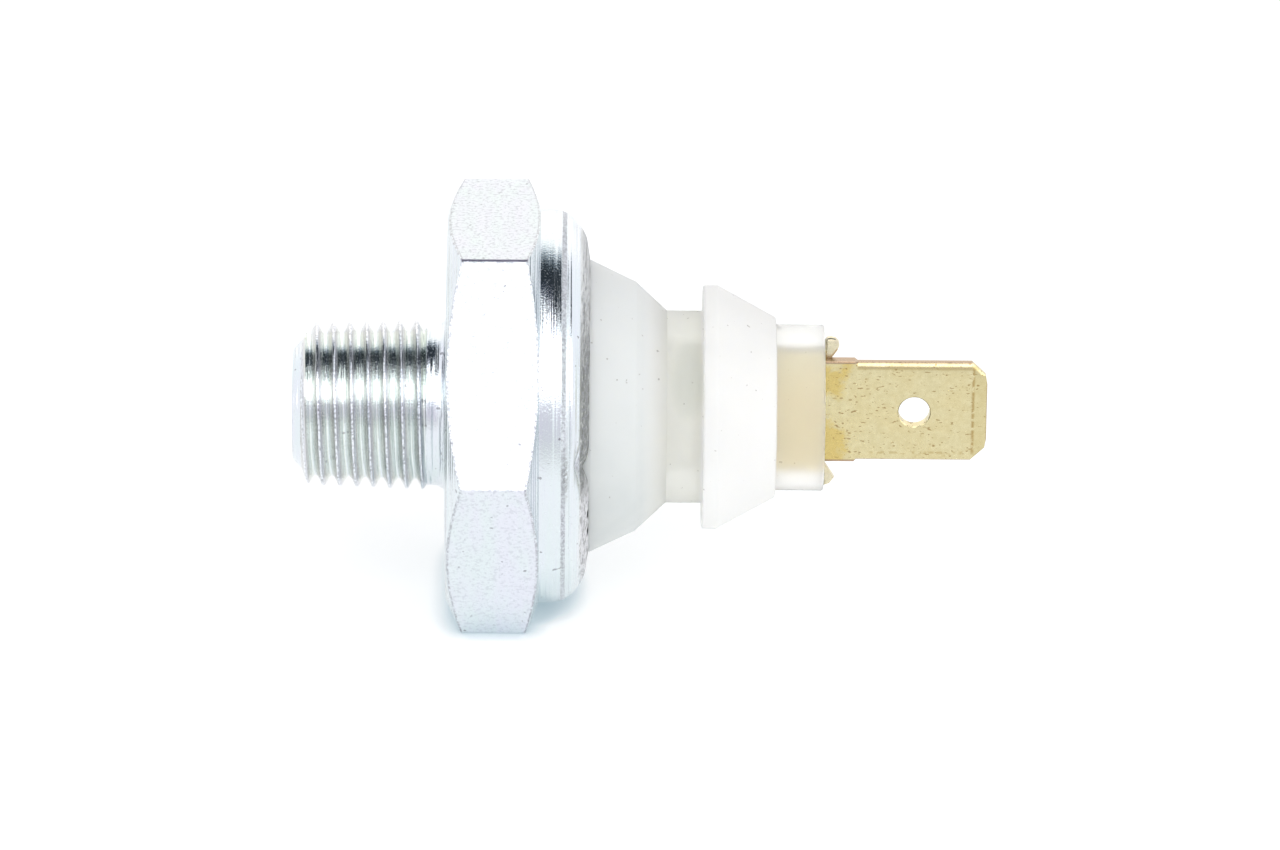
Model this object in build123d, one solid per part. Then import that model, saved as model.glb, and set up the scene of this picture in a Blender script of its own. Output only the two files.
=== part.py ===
from build123d import *

import os
from math import cos, radians, tan

# Sizes are in millimetres and angles in degrees.
# X runs along the thread's axis, from the hexagon's seat face at 0 towards the blade's tip.
# Z is normal to a hexagon flat, and the blade's broad faces are normal to Y.

# Threaded stub: the thread's crests and roots stand as rings, without the helix
thread_diameter = 10.0
gauge_distance = 4.6
taper_ratio = 1 / 16
thread_pitch = 1.0
thread_depth = 0.6
thread_crest_width = 0.125
thread_root_width = 0.18
run_out_length = 0.4
stub_length = 9.25
end_chamfer_length = 0.53
lead_in_length = 0.9
lead_in_depth = 1.6
shank_relief = 0.18
shank_length = 1.2
shank_fillet = 0.5
port_diameter = 3.5

# Hexagon, with a turned chamfer on both sides
hexagon_sides = 6
across_flats = 24.0
hex_length = 5.6
seat_chamfer_inset = 0.27
seat_chamfer_angle = 24.4
back_chamfer_inset = 0.18
back_chamfer_angle = 21.5

# Crimp collar and its rolled lip
collar_diameter = 23.7
collar_wall = 1.5
lip_end = 8.53
lip_thickness = 0.83
lip_overhang = 1.55
lip_flat_width = 0.7
lip_roll_depth = 1.25
lip_face_angle = 9.0
lip_roll_angle = 45.0
lip_fillet = 0.5
crimp_line_count = 2
crimp_line_pitch = 0.24
crimp_line_depth = 0.09
crimp_line_overrun = 0.06

# Pressure chamber in the body's floor
floor_thickness = 3.0
recess_depth = 0.8
recess_land_width = 1.3
groove_width = 1.9
groove_depth = 0.9
groove_land_width = 1.15
seal_side_clearance = 0.12
seal_corner_radius = 0.35

# Foil and dished contact ring
foil_thickness = 0.15
foil_edge_clearance = 0.15
ring_thickness = 0.8
ring_edge_clearance = 0.05
ring_rim_width = 3.0
ring_dish_run = 0.9
ring_dish_wall = 0.45
ring_hole_diameter = 4.8

# Push pin, which the foil lifts by the contact's travel
contact_travel = 0.45
stop_clearance = 0.05
pin_head_clearance = 0.75
pin_head_thickness = 0.9
pin_head_chamfer = 0.2
pin_hole_clearance = 0.5
pin_nib_diameter = 1.8
pin_nib_length = 0.9

# Moving contact, a shallow pressed cup
contact_diameter = 7.8
contact_thickness = 0.5
contact_wall_height = 0.9
contact_edge_radius = 0.3
nib_clearance = 0.05

# Contact spring
spring_wire_diameter = 0.6
spring_mean_diameter = 5.1
spring_turns = 6

# Insulator moulding
flange_clearance = 0.05
lip_clearance = 0.02
register_length = 0.1
lower_cone_length = 2.7
lower_cone_angle = 25.4
upper_cone_length = 1.84
neck_diameter = 11.58
neck_length = 2.16
collar_ring_diameter = 14.68
collar_ring_length = 4.4
collar_land_length = 0.87
collar_small_diameter = 10.84
tail_diameter = 10.0
tail_length = 2.91
moulded_edge_radius = 0.15
cavity_clearance = 0.3
spring_room_diameter = 6.8
spring_room_before_neck = 1.2
spring_room_past_neck = 0.45

# Brass terminal
brass_thickness = 0.8
strip_width = 7.0
slot_clearance = 0.04
blade_base_width = 6.45
blade_base_length = 1.96
blade_width = 6.3
blade_length = 9.83
blade_drop = 0.1
blade_corner_cut = 0.75
blade_corner_run = 1.15
edge_bevel_width = 0.32
edge_bevel_depth = 0.13
tip_bevel_length = 0.82
tip_bevel_depth = 0.2
blade_hole_diameter = 1.9
blade_hole_from_tip = 4.37
foot_clearance = 0.25
foot_slit_width = 0.1
foot_bend_radius = 0.6
ear_reach = 1.35
ear_length = 0.72
ear_tip_run = 0.36
ear_tip_drop = 0.45
ear_root_length = 0.3
ear_root_depth = 0.675
ear_thickness = 0.6
ear_gap = 0.02
ear_twist = 22.0

# Radii worked out from the diameters
thread_radius = thread_diameter / 2
shank_radius = thread_radius - shank_relief
port_radius = port_diameter / 2
collar_radius = collar_diameter / 2
bore_radius = collar_radius - collar_wall
lip_radius = bore_radius - lip_overhang
lip_face_radius = collar_radius - lip_roll_depth
shoulder_radius = lip_radius + lip_flat_width
groove_outer_radius = bore_radius - groove_land_width
groove_inner_radius = groove_outer_radius - groove_width
recess_radius = groove_inner_radius - recess_land_width
flange_radius = bore_radius - flange_clearance
ring_radius = bore_radius - ring_edge_clearance
ring_rim_inner_radius = ring_radius - ring_rim_width
ring_plate_radius = ring_rim_inner_radius - ring_dish_run
ring_hole_radius = ring_hole_diameter / 2
neck_radius = neck_diameter / 2
tail_radius = tail_diameter / 2
spring_room_radius = spring_room_diameter / 2
half_brass = brass_thickness / 2

# Places along X, each worked out from the piece that comes before it
shoulder_x = lip_end - lip_thickness
lip_face_x = lip_end - (lip_face_radius - lip_radius) * tan(radians(lip_face_angle))
roll_start_x = lip_face_x - (collar_radius - lip_face_radius) * tan(radians(lip_roll_angle))
ring_x = floor_thickness + foil_thickness
ring_rim_top_x = ring_x + ring_thickness
pin_head_top_x = ring_x + pin_head_thickness
ring_plate_x = pin_head_top_x + contact_travel + stop_clearance
contact_x = ring_plate_x + ring_thickness
spring_x = contact_x + contact_thickness
cone_x = lip_end + register_length
cone_break_x = cone_x + lower_cone_length
neck_x = cone_break_x + upper_cone_length
collar_ring_x = neck_x + neck_length
tail_x = collar_ring_x + collar_ring_length
tail_end_x = tail_x + tail_length
room_start_x = neck_x - spring_room_before_neck
room_end_x = collar_ring_x + spring_room_past_neck
foot_x = room_end_x - brass_thickness
blade_tip_x = tail_end_x + blade_length
coined_x = tail_end_x + blade_base_length

# Room that a cutting shape takes beyond the solid that it cuts
beyond = 1.0

# Distance within which two places count as one
near = 0.001


def turned(*points):
    """A solid of revolution about X, from an outline of (x, radius) points."""
    return revolve(make_face(Polyline(*points, close=True)), axis=Axis.X)


def rims(solid, x, radius):
    """The round edges of a turned solid at one place and radius."""

    def is_there(edge):
        return abs(edge.center().X - x) < near and abs(edge.radius - radius) < near

    return solid.edges().filter_by(GeomType.CIRCLE).filter_by(is_there)


def block(x_range, y_range, z_range):
    """A box between two places on each axis."""
    low = (x_range[0], y_range[0], z_range[0])
    size = (x_range[1] - x_range[0], y_range[1] - y_range[0], z_range[1] - z_range[0])
    return Pos(*low) * Box(*size, align=(Align.MIN, Align.MIN, Align.MIN))


def rod(x_start, x_end, radius):
    """A plain round bar along X."""
    return turned((x_start, 0), (x_start, radius), (x_end, radius), (x_end, 0))


def taper_radius(x):
    """The thread's outer radius at a place on the stub."""
    return thread_radius + (x + gauge_distance) * taper_ratio / 2


def hexagon():
    """The wrench hexagon, cut back by a turned chamfer on each side."""
    flat_radius = across_flats / 2
    outline = RegularPolygon(flat_radius, hexagon_sides, major_radius=False)
    bar = extrude(Plane.YZ * outline, amount=hex_length)
    seat_radius = flat_radius - seat_chamfer_inset
    back_radius = flat_radius - back_chamfer_inset
    outer_radius = flat_radius / cos(radians(180 / hexagon_sides)) + beyond
    seat_run = (outer_radius - seat_radius) * tan(radians(seat_chamfer_angle))
    back_run = (outer_radius - back_radius) * tan(radians(back_chamfer_angle))
    envelope = turned(
        (0, 0),
        (0, seat_radius),
        (seat_run, outer_radius),
        (hex_length - back_run, outer_radius),
        (hex_length, back_radius),
        (hex_length, 0),
    )
    return bar & envelope


def thread_points(lead_in_x):
    """Outline of the roots and crests, from the lead-in's end to the run-out before the shank."""
    half_crest = thread_crest_width / 2
    half_root = thread_root_width / 2
    last_crest_x = -shank_length - run_out_length
    room = last_crest_x - thread_pitch / 2 - half_root - lead_in_x
    points = []
    for ring in range(int(room / thread_pitch), -1, -1):
        crest_x = last_crest_x - ring * thread_pitch
        root_x = crest_x - thread_pitch / 2
        root_radius = taper_radius(root_x) - thread_depth
        crest_radius = taper_radius(crest_x)
        points += [(root_x - half_root, root_radius), (root_x + half_root, root_radius)]
        points += [(crest_x - half_crest, crest_radius), (crest_x + half_crest, crest_radius)]
    return points


def threaded_stub():
    """The stub with its chamfered end and lead-in, the thread's rings and the plain shank before the seat."""
    end_radius = thread_radius - lead_in_depth
    lead_in_x = lead_in_length - stub_length
    return turned(
        (-stub_length, 0),
        (-stub_length, end_radius),
        (end_chamfer_length - stub_length, end_radius + end_chamfer_length),
        (lead_in_x, taper_radius(lead_in_x)),
        *thread_points(lead_in_x),
        (-shank_length, shank_radius),
        (hex_length / 2, shank_radius),
        (hex_length / 2, 0),
    )


def crimp_collar():
    """The collar's outside, with the lip rolled in at its end and the lines that the crimping tool left."""
    collar = turned(
        (hex_length / 2, 0),
        (hex_length / 2, collar_radius),
        (roll_start_x, collar_radius),
        (lip_face_x, lip_face_radius),
        (lip_end, lip_radius),
        (lip_end, 0),
    )
    collar = fillet(rims(collar, lip_face_x, lip_face_radius), lip_fillet)
    for line in range(crimp_line_count):
        line_x = roll_start_x + crimp_line_overrun - line * crimp_line_pitch
        collar -= turned(
            (line_x - crimp_line_depth, collar_radius),
            (line_x, collar_radius - crimp_line_depth),
            (line_x + crimp_line_depth, collar_radius),
            (line_x, collar_radius + crimp_line_depth),
        )
    return collar


def body_cavity():
    """Port, pressure recess, seal groove and the crimp bore under the lip."""
    recess_x = floor_thickness - recess_depth
    slope_x = shoulder_x - (bore_radius - shoulder_radius)
    bore = turned(
        (-stub_length - beyond, 0),
        (-stub_length - beyond, port_radius),
        (recess_x, port_radius),
        (recess_x, recess_radius),
        (floor_thickness, recess_radius),
        (floor_thickness, bore_radius),
        (slope_x, bore_radius),
        (shoulder_x, shoulder_radius),
        (shoulder_x, lip_radius),
        (lip_end + beyond, lip_radius),
        (lip_end + beyond, 0),
    )
    groove = turned(
        (floor_thickness - groove_depth, groove_inner_radius),
        (floor_thickness - groove_depth, groove_outer_radius),
        (floor_thickness, groove_outer_radius),
        (floor_thickness, groove_inner_radius),
    )
    return bore + groove


def steel_body():
    """Hexagon, threaded stub and crimp collar, turned from one bar."""
    blank = hexagon() + threaded_stub() + crimp_collar()
    blank = fillet(rims(blank, 0, shank_radius), shank_fillet)
    return blank - body_cavity()


def seal_ring():
    """Round rubber section, pressed flat between the groove's floor and the foil."""
    inner = groove_inner_radius + seal_side_clearance
    outer = groove_outer_radius - seal_side_clearance
    bottom = floor_thickness - groove_depth
    ring = turned((bottom, inner), (bottom, outer), (floor_thickness, outer), (floor_thickness, inner))
    return fillet(ring.edges().filter_by(GeomType.CIRCLE), seal_corner_radius)


def diaphragm():
    """Flat foil, clamped between the body's floor and the contact ring."""
    return rod(floor_thickness, ring_x, bore_radius - foil_edge_clearance)


def contact_ring():
    """Dished ring: a flat rim on the foil, and a raised plate that the moving contact rests on."""
    return turned(
        (ring_x, ring_radius),
        (ring_x, ring_rim_inner_radius - ring_dish_wall),
        (ring_plate_x, ring_plate_radius - ring_dish_wall),
        (ring_plate_x, ring_hole_radius),
        (contact_x, ring_hole_radius),
        (contact_x, ring_plate_radius),
        (ring_rim_top_x, ring_rim_inner_radius),
        (ring_rim_top_x, ring_radius),
    )


def push_pin():
    """Wide head on the foil, a stem through the ring's hole and a nib that centres the moving contact."""
    head_radius = ring_plate_radius - ring_dish_wall - pin_head_clearance
    head = rod(ring_x, pin_head_top_x, head_radius)
    head = chamfer(rims(head, pin_head_top_x, head_radius), pin_head_chamfer)
    stem = rod(ring_x, contact_x, ring_hole_radius - pin_hole_clearance)
    nib = rod(ring_x, contact_x + pin_nib_length, pin_nib_diameter / 2)
    return head + stem + nib


def moving_contact():
    """Shallow cup that holds the spring's end and bridges the ring's hole."""
    cup_radius = contact_diameter / 2
    cup = rod(contact_x, spring_x + contact_wall_height, cup_radius)
    cup = fillet(rims(cup, contact_x, cup_radius), contact_edge_radius)
    inside = rod(spring_x, spring_x + contact_wall_height + beyond, cup_radius - contact_thickness)
    hole = rod(contact_x - beyond, spring_x + beyond, pin_nib_diameter / 2 + nib_clearance)
    return cup - inside - hole


def contact_spring():
    """Compression spring whose wire ends bear on the moving contact and on the terminal's foot."""
    wire_radius = spring_wire_diameter / 2
    rise = foot_x - spring_x - spring_wire_diameter
    start = (spring_x + wire_radius, 0, 0)
    line = Helix(rise / spring_turns, rise, spring_mean_diameter / 2, start, (1, 0, 0))
    wire = Plane(origin=line @ 0, z_dir=line % 0) * Circle(wire_radius)
    return sweep(wire, path=line, is_frenet=True)


def insulator_outside():
    """Flange under the lip, cone with two slopes, neck, collar and tail."""
    register_radius = lip_radius - lip_clearance
    step_radius = shoulder_radius - flange_clearance
    break_radius = register_radius - lower_cone_length * tan(radians(lower_cone_angle))
    collar_ring_radius = collar_ring_diameter / 2
    outside = turned(
        (ring_rim_top_x, 0),
        (ring_rim_top_x, flange_radius),
        (shoulder_x - (flange_radius - step_radius), flange_radius),
        (shoulder_x, step_radius),
        (shoulder_x, register_radius),
        (cone_x, register_radius),
        (cone_break_x, break_radius),
        (neck_x, neck_radius),
        (collar_ring_x, neck_radius),
        (collar_ring_x, collar_ring_radius),
        (collar_ring_x + collar_land_length, collar_ring_radius),
        (tail_x, collar_small_diameter / 2),
        (tail_x, tail_radius),
        (tail_end_x, tail_radius),
        (tail_end_x, 0),
    )
    edges = rims(outside, tail_end_x, tail_radius)
    edges += rims(outside, tail_x, collar_small_diameter / 2)
    edges += rims(outside, collar_ring_x, collar_ring_radius)
    return fillet(edges, moulded_edge_radius)


def insulator():
    """The nylon moulding, hollow for the contact and the spring, with a slot for the brass strip."""
    dish_room = ring_rim_inner_radius + cavity_clearance
    inside = turned(
        (ring_rim_top_x - beyond, 0),
        (ring_rim_top_x - beyond, dish_room),
        (spring_x, dish_room),
        (room_start_x, spring_room_radius),
        (room_end_x, spring_room_radius),
        (room_end_x, 0),
    )
    half_slot = half_brass + slot_clearance
    half_width = strip_width / 2 + slot_clearance
    slot = block((foot_x, tail_end_x + beyond), (-half_slot, half_slot), (-half_width, half_width))
    return insulator_outside() - inside - slot


def blade():
    """The blade with its coined edges, cut corners, bevelled tip and hole."""
    half_width = blade_width / 2
    half_base = blade_base_width / 2
    tip = blade_tip_x
    outline = make_face(
        Polyline(
            (tail_end_x, -half_base),
            (coined_x, -half_base),
            (coined_x, -half_width),
            (tip - blade_corner_run, -half_width),
            (tip, blade_corner_cut - half_width),
            (tip, half_width - blade_corner_cut),
            (tip - blade_corner_run, half_width),
            (coined_x, half_width),
            (coined_x, half_base),
            (tail_end_x, half_base),
            close=True,
        )
    )
    plate = extrude(Plane.XZ * outline, amount=half_brass, both=True)
    tip_face = half_brass - tip_bevel_depth
    side_view = make_face(
        Polyline(
            (tail_end_x, -half_brass),
            (tip - tip_bevel_length, -half_brass),
            (tip, -tip_face),
            (tip, tip_face),
            (tip - tip_bevel_length, half_brass),
            (tail_end_x, half_brass),
            close=True,
        )
    )
    plate &= extrude(side_view, amount=blade_base_width, both=True)
    edge_face = half_brass - edge_bevel_depth
    bevel_inner = half_width - edge_bevel_width
    end_view = make_face(
        Polyline(
            (-half_brass, -bevel_inner),
            (-edge_face, -half_width),
            (edge_face, -half_width),
            (half_brass, -bevel_inner),
            (half_brass, bevel_inner),
            (edge_face, half_width),
            (-edge_face, half_width),
            (-half_brass, bevel_inner),
            close=True,
        )
    )
    base = block((tail_end_x, coined_x), (-half_brass, half_brass), (-half_base, half_base))
    coined = extrude(Plane.YZ.offset(coined_x) * end_view, amount=blade_length)
    hole = Pos(tip - blade_hole_from_tip, 0, 0) * Rot(90, 0, 0) * Cylinder(blade_hole_diameter / 2, blade_width)
    return plate & (base + coined) - hole


def ear():
    """One locking ear beside the blade's upper edge, spread out over the insulator's end face."""
    root = blade_base_width / 2
    inside = root - ear_root_depth
    start = tail_end_x + ear_gap
    outline = make_face(
        Polyline(
            (start, inside),
            (start, root + ear_reach),
            (start + ear_tip_run, root + ear_reach),
            (start + ear_length, root + ear_reach - ear_tip_drop),
            (start + ear_root_length, root),
            (start + ear_root_length, inside),
            close=True,
        )
    )
    plate = extrude(Plane.XZ * outline, amount=ear_thickness / 2, both=True)
    return Pos(0, 0, inside) * Rot(-ear_twist, 0, 0) * Pos(0, 0, -inside) * plate


def foot_half():
    """Half of the strip's inner end, bent to one side as a seat for the spring."""
    reach = spring_room_radius - foot_clearance
    bend = block((foot_x, room_end_x), (-half_brass, reach), (foot_slit_width / 2, reach))
    outer_corner = bend.edges().filter_by(Axis.Z).sort_by(SortBy.DISTANCE, reverse=True)
    corner = outer_corner.filter_by(lambda edge: edge.center().X < foot_x + near)
    corner = corner.sort_by(Axis.Y)[0]
    return fillet(corner, foot_bend_radius) & rod(foot_x, room_end_x, reach)


def terminal_blade():
    """One brass stamping: foot, strip through the insulator, ears and blade."""
    half_strip = strip_width / 2
    strip = block((room_end_x, tail_end_x), (-half_brass, half_brass), (-half_strip, half_strip))
    foot = foot_half()
    foot += Rot(180, 0, 0) * foot
    outside = Pos(0, 0, -blade_drop) * (blade() + ear() + Rot(180, 0, 0) * ear())
    return strip + foot + outside


pieces = {
    "steel_body": steel_body,
    "seal_ring": seal_ring,
    "diaphragm": diaphragm,
    "contact_ring": contact_ring,
    "push_pin": push_pin,
    "moving_contact": moving_contact,
    "contact_spring": contact_spring,
    "insulator": insulator,
    "terminal_blade": terminal_blade,
}

os.makedirs("parts", exist_ok=True)
for name, make in pieces.items():
    export_step(make(), f"parts/{name}.step")
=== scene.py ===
import math

import bmesh
import bpy
import numpy as np
from mathutils import Matrix, Vector, noise
from mathutils.geometry import tessellate_polygon


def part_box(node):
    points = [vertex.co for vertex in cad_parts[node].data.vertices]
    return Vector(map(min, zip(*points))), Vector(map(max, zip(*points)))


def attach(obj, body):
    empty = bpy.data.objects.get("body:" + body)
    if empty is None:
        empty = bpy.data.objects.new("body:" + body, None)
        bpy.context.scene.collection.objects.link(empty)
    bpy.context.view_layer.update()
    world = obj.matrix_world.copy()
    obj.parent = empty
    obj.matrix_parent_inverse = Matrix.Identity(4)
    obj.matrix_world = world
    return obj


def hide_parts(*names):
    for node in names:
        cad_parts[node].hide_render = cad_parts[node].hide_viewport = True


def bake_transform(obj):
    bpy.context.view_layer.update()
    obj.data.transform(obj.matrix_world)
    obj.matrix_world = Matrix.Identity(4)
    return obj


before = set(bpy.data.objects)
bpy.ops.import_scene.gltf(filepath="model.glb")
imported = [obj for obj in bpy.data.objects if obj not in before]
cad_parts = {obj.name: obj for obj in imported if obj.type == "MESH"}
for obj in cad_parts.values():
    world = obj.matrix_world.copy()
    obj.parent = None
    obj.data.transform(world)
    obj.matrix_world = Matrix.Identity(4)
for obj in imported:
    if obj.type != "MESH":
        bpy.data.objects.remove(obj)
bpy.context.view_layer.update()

# Shapes are worked out in millimetres, in the frame of the CAD model, and scaled once to metres.
# X runs along the thread's axis from the thread to the blade's tip, and Z is normal to a hexagon flat.
MM = 0.001

body_low, body_high = (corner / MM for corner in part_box("steel_body"))
moulding_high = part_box("insulator")[1] / MM
blade_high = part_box("terminal_blade")[1] / MM

stub_end_x = body_low.x
lip_end_x = body_high.x
flat_radius = body_high.z
tail_end_x = moulding_high.x
blade_tip_x = blade_high.x

# Places on the nylon moulding
neck_x = 13.17
neck_fade = 1.5
collar_x = 15.33
tail_x = 19.73

# Painted grey shade in the upper half of the neck, beside the end of the brass strip
shade_reach_x = 1.3
shade_z = 3.4
shade_reach_z = 2.4

# Rolled thread
pitch = 1.0
thread_depth = 0.6
gauge_radius = 5.0
gauge_x = -4.6
thread_taper = 1 / 32
thread_phase = 0.92
flank_angle = math.radians(30)
root_radius = 0.16
crest_dimple = 0.02
crest_roughness = 0.012
crest_noise_along = 3
crest_noise_around = 6
crest_share = 0.2
half_phases = [0.0, 0.03, 0.061, 0.1, 0.17, 0.27, 0.3614, 0.41, 0.455]
end_face_radius = 3.38
end_chamfer_x = -8.73
end_chamfer_radius = 3.93
lead_in = [(end_chamfer_x, end_chamfer_radius), (-8.45, 4.66), (-8.2, 4.95)]
shank_radius = 4.84
run_out_start_x = -1.45
run_out_end_x = -1.15
thread_stop_x = -1.05
shank_step = 0.08
fillet_radius = 0.8
port_radius = 1.75
port_chamfer = 0.15

# Hexagon
corner_radius = 0.4
seat_chamfer_radius = 11.73
seat_chamfer_slope = math.tan(math.radians(24.4))
hex_end_x = 5.6
back_chamfer_radius = 11.82
back_chamfer_slope = math.tan(math.radians(21.5))
hex_edge_softness = 0.08
seat_radii = [6.5, 8, 9.5, 11]
seat_edge = 0.02
edge_margin = 0.05

# Crimp collar and lip, as (x, radius) down the rolled outside
collar_radius = 11.85
collar_start_x = 5.588
rolled_outside = [
    (6.4, 11.85), (6.75, 11.76), (7.0, 11.68), (7.2, 11.6), (7.35, 11.51), (7.5, 11.4), (7.6, 11.3),
    (7.8, 11.06), (7.95, 10.86), (8.07, 10.67), (8.2, 10.44), (8.3, 10.2), (8.38, 9.9), (8.44, 9.5),
    (8.5, 9.1), (8.53, 8.86),
]
rolled_step = 0.035
lip_start_x = 7.93
lip_grain_start_x = 8.05
lip_grain_end_x = 8.12

# Lines that the crimping tool left, as (x, depth, half width), and the serrated band
crimp_lines = [(6.66, 0.008, 0.016), (6.76, 0.014, 0.018), (7.2, 0.01, 0.016), (7.385, 0.04, 0.03)]
serrated_start_x = 6.85
serrated_end_x = 7.17
serration_depth = 0.025
serration_fade = 0.05
serration_noise_along = 9
serration_noise_around = 50

# Inside of the body
lip_radius = 8.8
bore_radius = 10.35
shoulder_x = 7.7
shoulder_radius = 9.5
floor_x = 3.0
groove_outer_radius = 9.2
groove_inner_radius = 7.3
groove_x = 2.1
recess_radius = 6.0
recess_x = 2.2

# Dent in the lip, and the two black slots of painted shade under its edge. Angles run from +Y towards +Z.
dent_angle = 178.0
dent_radius = 10.6
dent_lean = 2.4
dent_half_width = 4.0
dent_start_x = 7.6
dent_depth = 0.38
dent_fade = 0.5
slot_middle_z = -4.2
slot_half_spacing = 0.7

# Marks on the zinc: the stain on the collar, and a painted dark reflection along the hexagon's upper edge
stain_x = 7.12
stain_z = 0.2
top_edge_turn = math.radians(48)
top_edge_radii = (13.66, 13.7)

# Degrees between the points of a ring, and the finer steps beside a hexagon corner and over the dent
ring_step = 2.0
corner_steps = [0, 0.21, 0.42, 0.63, 0.84, 1.2]
dent_steps = np.arange(-9.0, 14.01, 0.5)

# Parts of the body's profile with no detail of their own, as (x, radius)
stub_profile = [
    (recess_x, port_radius), (stub_end_x + port_chamfer, port_radius),
    (stub_end_x, port_radius + port_chamfer), (stub_end_x, end_face_radius - 0.04),
    (stub_end_x + 0.03, end_face_radius + 0.01),
    (end_chamfer_x - 0.02, end_chamfer_radius - 0.022), (end_chamfer_x, end_chamfer_radius),
]
bore_profile = [
    (shoulder_x, lip_radius), (shoulder_x, shoulder_radius),
    (shoulder_x - (bore_radius - shoulder_radius), bore_radius), (floor_x, bore_radius),
    (floor_x, groove_outer_radius), (groove_x, groove_outer_radius), (groove_x, groove_inner_radius),
    (floor_x, groove_inner_radius), (floor_x, recess_radius), (recess_x, recess_radius),
]

# Blade, strip and ears
half_brass = 0.4
blade_drop = 0.1
strip_half_width = 3.5
strip_start_x = 15.78
strip_end_x = tail_end_x + 0.02
strip_softness = 0.03
foot_x = 14.98
foot_reach = 3.15
foot_gap = 0.05
base_half_width = 3.225
base_end_x = tail_end_x + 1.96
blade_half_width = 3.15
edge_bevel = 0.6
edge_bevel_depth = 0.23
edge_roundness = 3.4
base_bevel_depth = 0.04
base_roundness = 3
tip_bevel = 0.84
tip_bevel_depth = 0.18
bevel_shares = [0, 0.06, 0.13, 0.22, 0.32, 0.46, 0.66, 1.0]
hole_x = blade_tip_x - 4.37
hole_radius = 0.95
hole_rim = 0.05

# Corners of the blade's upper half as (x, z), round its rim and round the flat of its face
rim_corners = [
    (tail_end_x, base_half_width), (base_end_x - 0.1, base_half_width),
    (base_end_x + 0.05, blade_half_width), (blade_tip_x - 0.94, blade_half_width),
    (blade_tip_x - 0.1, blade_half_width - 0.82), (blade_tip_x, blade_half_width - 1.38),
]
flat_end_x = blade_tip_x - tip_bevel
flat_half_width = blade_half_width - edge_bevel
flat_corners = [
    (tail_end_x, base_half_width - 0.12), (base_end_x - 0.1, base_half_width - 0.12),
    (base_end_x + 0.05, flat_half_width), (blade_tip_x - 0.97, flat_half_width),
    (flat_end_x - 0.045, flat_half_width - 0.1), (flat_end_x, flat_half_width - 0.37),
]

# Ears, as (x, z) outlines
upper_ear = [
    (22.64, 3.0), (22.7, 4.2), (22.82, 4.35), (23.05, 4.38), (23.32, 4.32), (23.5, 4.14), (23.55, 3.9),
    (23.45, 3.6), (23.22, 3.26), (22.98, 2.98),
]
lower_ear = [(22.67, -3.2), (23.34, -4.24), (23.05, -4.64), (22.69, -4.77)]
ear_half_thickness = 0.3
ear_side = 0.5
ear_softness = 0.14

# Places of the brass's marks
upper_patch_z = 1.9
lower_patch_z = -2.3
# Height of the painted darker band of shade under the upper edge's highlight
upper_shade_band_z = 2.82 - blade_drop
low_row_z = -2.72


# Meshes

def mesh_object(name, points, faces, body, attributes=None, sharp_angle=32.0):
    """An object from points in millimetres, with coincident points merged and sharp edges kept sharp."""
    mesh = bpy.data.meshes.new(name)
    mesh.from_pydata([tuple(point) for point in np.asarray(points) * MM], [], faces)
    for label, values in (attributes or {}).items():
        layer = mesh.attributes.new(label, "FLOAT", "POINT")
        layer.data.foreach_set("value", np.asarray(values, np.float32))
    work = bmesh.new()
    work.from_mesh(mesh)
    bmesh.ops.remove_doubles(work, verts=work.verts, dist=1e-7)
    bmesh.ops.recalc_face_normals(work, faces=work.faces)
    work.to_mesh(mesh)
    work.free()
    mesh.polygons.foreach_set("use_smooth", [True] * len(mesh.polygons))
    mesh.set_sharp_from_angle(angle=math.radians(sharp_angle))
    piece = bpy.data.objects.new(name, mesh)
    bpy.context.scene.collection.objects.link(piece)
    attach(piece, body)
    return piece


def smoothstep(low, high, value):
    """0 below low, 1 above high, and a smooth rise between them."""
    share = np.clip((value - low) / (high - low), 0, 1)
    return share * share * (3 - 2 * share)


# Steel body: one closed grid of rings about the axis, whose rows follow the profile

def ring_angles():
    """Angles round the axis in degrees, from +Y towards +Z, closer together at the corners and the dent."""
    even = np.arange(0, 360, ring_step)
    steps = np.concatenate([-np.array(corner_steps), corner_steps])
    corners = (60 * np.arange(6)[:, None] + steps).ravel()
    dent = dent_angle + dent_steps
    angles = np.unique(np.round(np.mod(np.concatenate([even, corners, dent]), 360), 3))
    return np.append(angles, 360.0)


def hexagon_radius(angles):
    """Distance from the axis to the hexagon's outline with its rounded corners."""
    turn = np.radians(np.abs(np.mod(angles + 30, 60) - 30))
    centre = (flat_radius - corner_radius) / math.cos(math.radians(30))
    inside = np.clip(corner_radius ** 2 - (centre * np.sin(turn)) ** 2, 0, None)
    rounded = centre * np.cos(turn) + np.sqrt(inside)
    tangent = math.atan2(corner_radius / 2, centre + corner_radius * math.cos(math.radians(30)))
    return np.where(turn < tangent, rounded, flat_radius / np.cos(math.radians(30) - turn))


def thread_drop(phase):
    """How far the thread's surface lies under its crest, at a distance in pitches from the crest."""
    gap = np.abs(phase) * pitch
    arc_start = pitch / 2 - root_radius * math.cos(flank_angle)
    arc_top = thread_depth - root_radius * (1 - math.sin(flank_angle))
    crest_half = arc_start - arc_top * math.tan(flank_angle)
    if gap > arc_start:
        return thread_depth - root_radius + math.sqrt(root_radius ** 2 - (pitch / 2 - gap) ** 2)
    if gap > crest_half:
        return (gap - crest_half) / math.tan(flank_angle)
    return crest_dimple * (1 - gap / crest_half)


def ring_noise(along, around, angles):
    """Noise on a ring about the axis, at each angle, with one place along the axis or one for each."""
    values = []
    for place, turn in zip(np.broadcast_to(along, angles.shape), np.radians(angles)):
        values.append(noise.noise(Vector((place, around * math.cos(turn), around * math.sin(turn)))))
    return np.array(values)


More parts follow.
